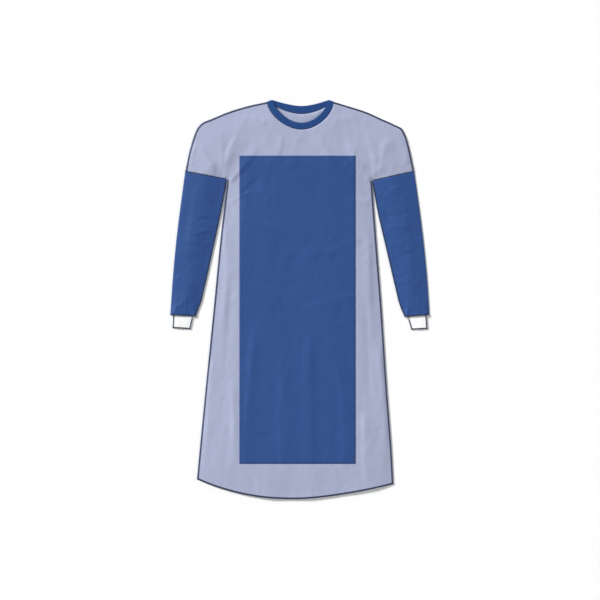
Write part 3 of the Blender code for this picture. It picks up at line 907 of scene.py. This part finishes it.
def turn_over(side, low, high):
    """Rows of the strip round the shoulder, from the height low to the height high."""
    seam, free = back_seam_point(side), back_free_point(side)
    fold = (free - seam) / np.hypot(*(free - seam))
    seam = seam + fold * BAND_GAP
    out = np.array((-fold[1], fold[0])) * -side
    out = out if out[1] < 0 else -out
    radius = (high - low) / 2
    found = []
    for angle in np.radians(np.linspace(-90.0, 90.0, TURN_ROWS)):
        sine, cosine = math.sin(angle), math.cos(angle)
        shift = out * radius * (cosine - 1)
        normal = np.array((out[0] * cosine, -out[1] * cosine, sine))
        found.append((seam + shift, free + shift, low + radius + radius * sine, normal))
    return found


right_back, scoop_rows, left_back = back_band_rows(RIGHT), front_band_rows(), back_band_rows(LEFT)
band_rows = right_back + turn_over(RIGHT, right_back[-1][2], scoop_rows[0][2]) + scoop_rows
band_rows += turn_over(LEFT, left_back[-1][2], scoop_rows[-1][2])[::-1] + left_back[::-1]
band_profile = []
for share in np.linspace(0.0, 1.0, BAND_PROFILE_POINTS):
    rim = min(share, 1 - share)
    band_profile.append((share, math.sqrt(min(rim / BAND_RIM, 1.0))))
upper = [(share, rim * (BAND_HALF + BAND_CROWN * math.sin(math.pi * share))) for share, rim in band_profile]
lower = [(share, -rim * BAND_HALF) for share, rim in band_profile[-2:0:-1]]
around = len(upper) + len(lower)
band_points = []
for seam, free, middle, normal in band_rows:
    seam_end, free_end = place(np.array([seam, free]), np.array([middle, middle]))
    for share, thick in upper + lower:
        spot = seam_end + (free_end - seam_end) * share
        band_points.append(spot + normal * thick * BAND_THICK * MM)
band_faces = tube_faces(len(band_rows), around)
band_faces += [tuple(range(around)), tuple(range(len(band_points) - around, len(band_points)))]
band = mesh_piece("neck_binding_piece", band_points, band_faces, binding)
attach(band, "root")
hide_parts("neckband_front", "neckband_back_right", "neckband_back_left")
band_runs = []
for rows in (scoop_rows, right_back, left_back):
    seam_line = np.array([seam + (free - seam) * BAND_STITCH_INSET for seam, free, _, _ in rows])
    seam_height = np.array([middle for _, _, middle, _ in rows]) + BAND_THICK * BAND_STITCH_RISE
    seam_top = height_over(seam_line, seam_height)
    band_runs += lockstitches(seam_line, seam_top, BAND_STITCH, BAND_STITCH_SPACE)
band_thread = thread_piece("thread_neck_binding", band_runs)

# The lower sleeves, tubes of the same film-faced nonwoven as the reinforcement. Each is sewn to its cap at
# the upper arm and hemmed at the mouth, where it is eased in a little round the cuff, and it lies flat.
SleeveRow = namedtuple("SleeveRow", "outer_down outer inner_down inner")
SLEEVE_EDGES = {
    RIGHT: rows_of(
        SleeveRow,  # outer_down, outer, inner_down, inner
        (228.0, 366.5, 253.5, 233.1),
        (320.0, 379.2, 344.0, 249.4),
        (458.0, 396.0, 474.0, 276.9),
        (596.0, 408.2, 604.0, 305.8),
        (642.0, 411.2, 648.0, 316.5),
        (663.0, 412.6, 668.0, 324.2),
        (683.6, 414.2, 688.2, 331.3),
    ),
    LEFT: rows_of(
        SleeveRow,  # outer_down, outer, inner_down, inner
        (228.0, 364.6, 258.2, 230.5),
        (320.0, 377.8, 344.0, 245.4),
        (458.0, 395.2, 474.0, 275.0),
        (596.0, 408.0, 604.0, 305.6),
        (642.0, 411.0, 648.0, 316.3),
        (663.0, 412.4, 668.0, 323.4),
        (683.6, 413.0, 690.0, 332.8),
    ),
}
SLEEVE_CREASES = {
    RIGHT: rows_of(
        Crease,  # across, down, to_across, to_down, bow, width, height
        (-262, 330, -352, 282, 8, 10, 2.9),
        (-272, 388, -374, 352, -7, 11, -2.4),
        (-276, 420, -366, 436, 6, 9, 3.2),
        (-284, 462, -386, 424, -6, 10, 2.6),
        (-296, 524, -372, 498, 5, 12, -2.1),
        (-398, 560, -322, 600, 5, 10, 2.1),
        (-330, 262, -346, 560, 10, 19, 2.1),
        (-336, 640, -334, 700, 2, 4, 1.4),
        (-348, 628, -350, 700, -2, 5, -0.5),
        (-362, 618, -363, 700, 2, 5, 1.7),
        (-377, 634, -376, 700, -1, 4, 1.3),
        (-391, 622, -392, 700, 2, 5, 1.4),
    ),
    LEFT: rows_of(
        Crease,  # across, down, to_across, to_down, bow, width, height
        (256, 322, 344, 268, -8, 11, 2.6),
        (268, 372, 366, 346, 7, 10, -2.4),
        (272, 404, 372, 410, -6, 9, 2.9),
        (280, 446, 380, 476, 7, 11, 2.4),
        (292, 512, 384, 486, -5, 10, -1.9),
        (390, 590, 318, 566, -6, 11, 2.2),
        (322, 270, 352, 590, -10, 18, 1.9),
        (340, 636, 341, 700, -2, 4, 1.6),
        (353, 624, 354, 700, 2, 5, -0.5),
        (367, 632, 367, 700, -1, 4, 1.4),
        (381, 616, 382, 700, 2, 5, 1.7),
        (395, 630, 396, 700, -2, 4, 1.2),
    ),
}
SLEEVE_CLOTH = 0.8
SLEEVE_FOLD = 2.6
SLEEVE_LOFT = 4.6
SLEEVE_ROWS = 150
SLEEVE_COLUMNS = 40
SLEEVE_MOUTH_LOFT = 3.9
MOUTH_REACH = 9.0
MOUTH_SPREAD = 0.12
SLEEVE_CREASE_CLEAR = 9.0
SLEEVE_WAVE = 0.4
SLEEVE_WAVE_CLEAR = 30.0
SLEEVE_CRUMPLE = Crumple(height=0.42, size=34.0, stretch=0.9, seed=5.0, clear=16.0)
CAP_GAP = 0.3
FOLD_POINTS = 6
UNDERARM_LOW = 0.6
UNDERARM_STITCH_REACH = 3.4
MOUTH_STITCH_REACH = 3.6
MOUTH_STITCH_STEP = 3.0


def flat_tube_ring(width, thick, columns_across, top_lift):
    """Distances across and heights round a tube that lies flat: its under side, one fold, its upper side,
    the other fold. thick is its height at the folds, and top_lift is what the upper side adds."""
    radius = thick / 2
    spots = np.linspace(radius, width - radius, columns_across)
    turn = np.radians(np.linspace(-90, 90, FOLD_POINTS + 2)[1:-1])
    fold_across, fold_height = radius * np.cos(turn), radius + radius * np.sin(turn)
    across = np.concatenate([spots, width - radius + fold_across, spots[::-1], radius - fold_across])
    lifted = thick + top_lift(spots)
    height = np.concatenate([np.zeros(columns_across), fold_height, lifted[::-1], fold_height[::-1]])
    return across, height


def tube_shell(rings, wall):
    """Points and faces of a tube's wall, from rings of points in metres and the wall's thickness."""
    rings = np.array(rings)
    count = rings.shape[1]
    around = np.roll(rings, -1, axis=1) - np.roll(rings, 1, axis=1)
    onward = np.gradient(rings, axis=0)
    normal = np.cross(around, onward)
    normal /= np.linalg.norm(normal, axis=2, keepdims=True)
    middle = rings.mean(axis=1, keepdims=True)
    if ((rings - middle) * normal).sum() < 0:
        normal = -normal
    inner = rings - normal * wall * MM
    points = np.concatenate([rings.reshape(-1, 3), inner.reshape(-1, 3)])
    size = len(rings) * count
    faces = []
    for quad in tube_faces(len(rings), count):
        faces += [quad, tuple(index + size for index in quad[::-1])]
    for i in (0, len(rings) - 1):
        for j in range(count):
            k = (j + 1) % count
            faces.append((i * count + j, i * count + k, size + i * count + k, size + i * count + j))
    return points, faces


def make_sleeve(name, side):
    rows = SLEEVE_EDGES[side]
    outer = curve_through([(side * row.outer, row.outer_down) for row in rows], 1.0)
    inner = curve_through([(side * row.inner, row.inner_down) for row in rows], 1.0)
    seam = sleeve_seam(side, SEAM_STEP)
    rings, folds = [], []
    upper_points, upper_heights = [], []
    for along in np.linspace(0, 1, SLEEVE_ROWS):
        gap = (0, CAP_GAP * (1 - along))
        start, end = (edge[round(along * (len(edge) - 1))] + gap for edge in (outer, inner))
        width = math.hypot(*(end - start))
        way = (end - start) / width
        mouth = float(smooth_step((along - 1 + MOUTH_SPREAD) / MOUTH_SPREAD))
        reach = min(LOFT_REACH, width / 2) * (1 - mouth) + MOUTH_REACH * mouth

        def top_lift(spots):
            points = start + way * spots[:, None]
            edge = np.minimum(spots, width - spots)
            lift = ROLL * (1 - np.exp(-edge / ROLL_REACH)) * (1 - mouth)
            lift += (SLEEVE_LOFT * (1 - mouth) + SLEEVE_MOUTH_LOFT * mouth) * smooth_step(edge / reach)
            lift += crease_height(points, SLEEVE_CREASES[side]) * smooth_step(edge / SLEEVE_CREASE_CLEAR)
            wave = np.sin(points[:, 1] / 29.0 + points[:, 0] / 47.0)
            lift += SLEEVE_WAVE * wave * smooth_step(edge / SLEEVE_WAVE_CLEAR)
            lift += crumple_height(points, edge, SLEEVE_CRUMPLE)
            lift += seam_pucker(points, seam, CAP_RIPPLE)
            lift -= seam_pinch(distance_to_path(points, seam), edge)
            return np.maximum(lift, 0.0)

        across, height = flat_tube_ring(width, SLEEVE_FOLD, SLEEVE_COLUMNS, top_lift)
        rings.append(place(start + way * across[:, None], height))
        folds.append((start, end))
        upper = slice(SLEEVE_COLUMNS + FOLD_POINTS, 2 * SLEEVE_COLUMNS + FOLD_POINTS)
        upper_points += list(start + way * across[upper, None])
        upper_heights += list(height[upper])
    piece = mesh_piece(name + "_piece", *tube_shell(rings, SLEEVE_CLOTH), dark_nonwoven)
    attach(piece, "root")
    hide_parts(name)

    top = height_over(np.array(upper_points), np.array(upper_heights))

    def seam_low(points):
        return np.full(len(points), UNDERARM_LOW)

    def mouth_low(points):
        return top(points) - SLEEVE_CLOTH * 2

    underarm = np.array([end for _, end in folds])
    mouth_line = straight(*folds[-1], MOUTH_STITCH_STEP)
    runs = overlock(underarm[2:], side, top, seam_low, UNDERARM_STITCH_REACH)
    runs += overlock(mouth_line, side, top, mouth_low, MOUTH_STITCH_REACH)
    thread = thread_piece("thread_" + name, runs)
    middles = np.array([(start + end) / 2 for start, end in folds])
    steps = np.hypot(*np.diff(middles, axis=0).T)


make_sleeve("sleeve_right", RIGHT)
make_sleeve("sleeve_left", LEFT)

# The cuffs, tubes of white rib knit sewn inside the sleeve mouths. The ribs run along the arm, and the
# cuff steps down from the sleeve's hollow onto the table. slant is how much lower a line's inner end lies.
CuffLine = namedtuple("CuffLine", "down outer inner slant")
CUFF_LINES = {
    RIGHT: rows_of(
        CuffLine,  # down, outer, inner, slant
        (671.4, 404.6, 339.8, 4.4),
        (685.0, 405.4, 340.2, 4.4),
        (728.4, 407.4, 349.6, 3.9),
    ),
    LEFT: rows_of(
        CuffLine,  # down, outer, inner, slant
        (671.4, 403.6, 342.0, 6.0),
        (685.0, 404.2, 342.6, 6.0),
        (731.4, 407.4, 355.4, 2.6),
    ),
}
CUFF_WALL = 0.8
CUFF_FOLD = 2.3
CUFF_RIBS = 21
CUFF_RIB_HEIGHT = 0.6
CUFF_RIB_SHARPNESS = 1.3
CUFF_RIB_POINTS = 7
CUFF_PUFF = 1.2
CUFF_PUFF_REACH = 20.0
CUFF_PUFF_GROWTH = 0.3
CUFF_ROWS = 44
CUFF_REST = 1.1
CUFF_DROP_START = 0.25
CUFF_DROP_END = 0.5
CUFF_STITCH_RISE = (0.15, 0.35)
CUFF_STITCH_REACH = 4.2
CUFF_STITCH_POINTS = 12
# The knit's colours: a greyer one painted into the grooves between the courses as painted shade, then the
# knit's own white.
KNIT_GROOVE_SHADE_AND_WHITE = ((0.945, 0.955, 0.95, 1), (0.985, 0.99, 0.98, 1))
COURSE_SCALE = 260.0
COURSE_WANDER = 2.2
NAP_SCALE = 1400.0
KNIT_DEPTH = 0.0003


def rib_knit_material():
    """White rib knit: fine courses of stitches across the ribs, with a soft nap, and painted shade, where
    the grooves between the courses are coloured greyer than their crests.
    """
    looks = {"Roughness": 0.92, "Sheen Weight": 0.35, "Sheen Roughness": 0.6, "Specular IOR Level": 0.2}
    material, shader = new_material("rib_knit", looks)
    spot = add_node(material, "ShaderNodeTexCoord", {}, "Object")
    inputs = {"Scale": COURSE_SCALE, "Distortion": COURSE_WANDER, "Detail Scale": 3.0, "Vector": spot}
    courses = add_node(material, "ShaderNodeTexWave", inputs, "Fac", bands_direction="Y")
    inputs = {"Scale": NAP_SCALE, "Detail": 4.0, "Vector": spot}
    nap = add_node(material, "ShaderNodeTexNoise", inputs, "Fac")
    # The ramp paints shade into the courses: where the wave is low, and so is the bump, the knit is coloured
    # greyer.
    ramp = add_node(material, "ShaderNodeValToRGB", {"Fac": courses}, "Color")
    for end, colour in zip(ramp.node.color_ramp.elements, KNIT_GROOVE_SHADE_AND_WHITE):
        end.color = colour
    height = add_node(material, "ShaderNodeMath", {0: courses, 1: nap}, "Value", operation="ADD")
    inputs = {"Strength": 0.5, "Distance": KNIT_DEPTH, "Height": height}
    bump = add_node(material, "ShaderNodeBump", inputs, "Normal")
    set_inputs(shader, {"Base Color": ramp, "Normal": bump})
    return material


rib_knit = rib_knit_material()


def make_cuff(name, side):
    lines = [
        (np.array((side * row.outer, row.down)), np.array((side * row.inner, row.down + row.slant)))
        for row in CUFF_LINES[side]
    ]
    first_down, middle_down, last_down = (row.down for row in CUFF_LINES[side])
    middle = (middle_down - first_down) / (last_down - first_down)
    flanks = [np.array([row[i] for row in lines]) for i in (0, 1)]

    def rest(down):
        along = (down - first_down) / (last_down - first_down)
        return CUFF_REST * (1 - smooth_step((along - CUFF_DROP_START) / (CUFF_DROP_END - CUFF_DROP_START)))

    rings, widths = [], []
    for along in np.linspace(0, 1, CUFF_ROWS):
        pair = lines[0:2] if along < middle else lines[1:3]
        share = along / middle if along < middle else (along - middle) / (1 - middle)
        start, end = (pair[0][i] + (pair[1][i] - pair[0][i]) * share for i in (0, 1))
        width = math.hypot(*(end - start))
        way = (end - start) / width

        def top_lift(spots):
            turns = CUFF_RIBS * (spots - spots[0]) / (spots[-1] - spots[0])
            ribs = 0.5 - 0.5 * np.cos(2 * math.pi * turns)
            edge = np.minimum(spots, width - spots)
            puff = CUFF_PUFF * smooth_step(edge / CUFF_PUFF_REACH)
            puff *= smooth_step((along - middle) / CUFF_PUFF_GROWTH)
            return (CUFF_RIB_HEIGHT * ribs**CUFF_RIB_SHARPNESS + puff) * smooth_step((edge + 1.5) / 4.0)

        across, height = flat_tube_ring(width, CUFF_FOLD, CUFF_RIBS * CUFF_RIB_POINTS, top_lift)
        rings.append(place(start + way * across[:, None], rest(start[1]) + height))
        widths.append(width)
    piece = mesh_piece(name + "_piece", *tube_shell(rings, CUFF_WALL), rib_knit)
    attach(piece, "root")
    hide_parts(name)

    def top(points):
        edge = np.min([distance_to_path(points, flank) for flank in flanks], axis=0)
        at_fold, on_ribs = CUFF_STITCH_RISE
        puff = (CUFF_PUFF + on_ribs) * smooth_step(edge / CUFF_PUFF_REACH)
        return rest(points[:, 1]) + CUFF_FOLD + at_fold + puff

    def low(points):
        return top(points) - CUFF_WALL * 2

    corners = [lines[1][0], lines[2][0], lines[2][1], lines[1][1]]
    runs = []
    for start, end in zip(corners, corners[1:]):
        line = np.linspace(start, end, CUFF_STITCH_POINTS)
        runs += overlock(line, -side, top, low, CUFF_STITCH_REACH)
    thread = thread_piece("thread_" + name, runs)


make_cuff("cuff_right", RIGHT)
make_cuff("cuff_left", LEFT)

# The table and lights for the picture, which aren't parts of the gown: a plain pale table, one strong
# slanting light and a weak broad one against it, so that the creases show, an even white sky, and a
# camera straight above.
TABLE_COLOUR = (0.955, 0.955, 0.958)
TABLE_HALF = 40.0
TABLE_HEIGHT = -0.0002
SKY_STRENGTH = 0.28
PHOTO_WIDTH = 1.917
PHOTO_CENTRE_DOWN = 638.6
LENS = 85.0
SENSOR = 36.0
table_looks = {"Base Color": (*TABLE_COLOUR, 1), "Roughness": 0.9}
table_material = new_material("table", table_looks)[0]
table_mesh = bpy.data.meshes.new("table")
corner_signs = ((-1, -1), (1, -1), (1, 1), (-1, 1))
table_corners = [(x * TABLE_HALF, y * TABLE_HALF, TABLE_HEIGHT) for x, y in corner_signs]
table_mesh.from_pydata(table_corners, [], [(0, 1, 2, 3)])
table_mesh.materials.append(table_material)
table = bpy.data.objects.new("table", table_mesh)
bpy.context.scene.collection.objects.link(table)


def studio_light(name, direction, softness, strength):
    """A far, large lamp, which lights the whole table evenly. direction points from the table to it."""
    lamp = bpy.data.lights.new(name, "SUN")
    lamp.angle = math.radians(softness)
    lamp.energy = strength
    light = bpy.data.objects.new(name, lamp)
    light.rotation_euler = (-Vector(direction)).to_track_quat("-Z", "Y").to_euler()
    bpy.context.scene.collection.objects.link(light)


studio_light("key_light", (-2.4, 1.5, 1.4), softness=13.0, strength=4.1)
studio_light("fill_light", (2.4, -0.8, 1.9), softness=40.0, strength=0.95)
world = bpy.data.worlds.new("studio")
world.use_nodes = True
set_inputs(world.node_tree.nodes["Background"], {"Color": (1, 1, 1, 1), "Strength": SKY_STRENGTH})
bpy.context.scene.world = world
bpy.context.scene.view_settings.view_transform = "Standard"
camera_data = bpy.data.cameras.new("camera")
camera_data.lens = LENS
camera_data.sensor_width = SENSOR
camera = bpy.data.objects.new("camera", camera_data)
camera.location = (0, (LENGTH / 2 - PHOTO_CENTRE_DOWN) * MM, PHOTO_WIDTH * LENS / SENSOR)
bpy.context.scene.collection.objects.link(camera)
bpy.context.scene.camera = camera
